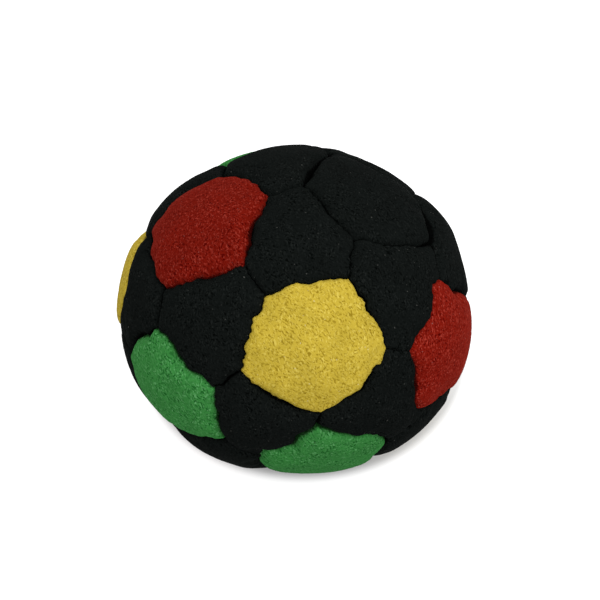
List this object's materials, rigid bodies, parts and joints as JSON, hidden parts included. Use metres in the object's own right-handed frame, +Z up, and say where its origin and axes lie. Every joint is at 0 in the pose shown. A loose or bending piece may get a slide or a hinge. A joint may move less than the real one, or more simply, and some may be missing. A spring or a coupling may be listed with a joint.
{
  "type": "footbag",
  "caption": "Sand-filled kick bag of suede panels, pentagons and hexagons, sewn into a ball that slumps on a flattened base.",
  "frame": {"origin": "middle of the flattened base that the bag rests on", "axes": "+Z up from the table; -Y towards the yellow front panel; +X to its right seen from the front"},
  "size_m": [0.0552, 0.054, 0.048],
  "materials": {
    "suede_black": "napped synthetic suede, near black, with a little pale lint",
    "suede_yellow": "napped synthetic suede, warm yellow, curly mottled nap",
    "suede_red": "napped synthetic suede, deep red",
    "suede_green": "napped synthetic suede, mid green",
    "sewing_thread": "black waxed polyester sewing thread",
    "sand": "loose dry sand"
  },
  "bodies": {
    "root": {"pentagon_yellow_front": "suede_yellow", "pentagon_black_top": "suede_black", "pentagon_red_top": "suede_red", "pentagon_green_left": "suede_green", "pentagon_green_front_low": "suede_green", "pentagon_red_right": "suede_red", "pentagon_green_rear_high": "suede_green", "pentagon_yellow_left": "suede_yellow", "pentagon_red_base": "suede_red", "pentagon_yellow_base": "suede_yellow", "pentagon_green_right": "suede_green", "pentagon_red_rear": "suede_red", "hexagon_black_01": "suede_black", "hexagon_black_02": "suede_black", "hexagon_black_03": "suede_black", "hexagon_black_04": "suede_black", "hexagon_black_05": "suede_black", "hexagon_black_06": "suede_black", "hexagon_black_07": "suede_black", "hexagon_black_08": "suede_black", "hexagon_black_09": "suede_black", "hexagon_black_10": "suede_black", "hexagon_black_11": "suede_black", "hexagon_black_12": "suede_black", "hexagon_black_13": "suede_black", "hexagon_black_14": "suede_black", "hexagon_black_15": "suede_black", "hexagon_black_16": "suede_black", "hexagon_black_17": "suede_black", "hexagon_black_18": "suede_black", "hexagon_black_19": "suede_black", "hexagon_black_20": "suede_black", "seam_thread_01": "sewing_thread", "seam_thread_02": "sewing_thread", "seam_thread_03": "sewing_thread", "seam_thread_04": "sewing_thread", "seam_thread_05": "sewing_thread", "seam_thread_06": "sewing_thread", "seam_thread_07": "sewing_thread", "seam_thread_08": "sewing_thread", "seam_thread_09": "sewing_thread", "seam_thread_10": "sewing_thread", "seam_thread_11": "sewing_thread", "seam_thread_12": "sewing_thread", "sand_fill": "sand"}
  },
  "joints": []
}
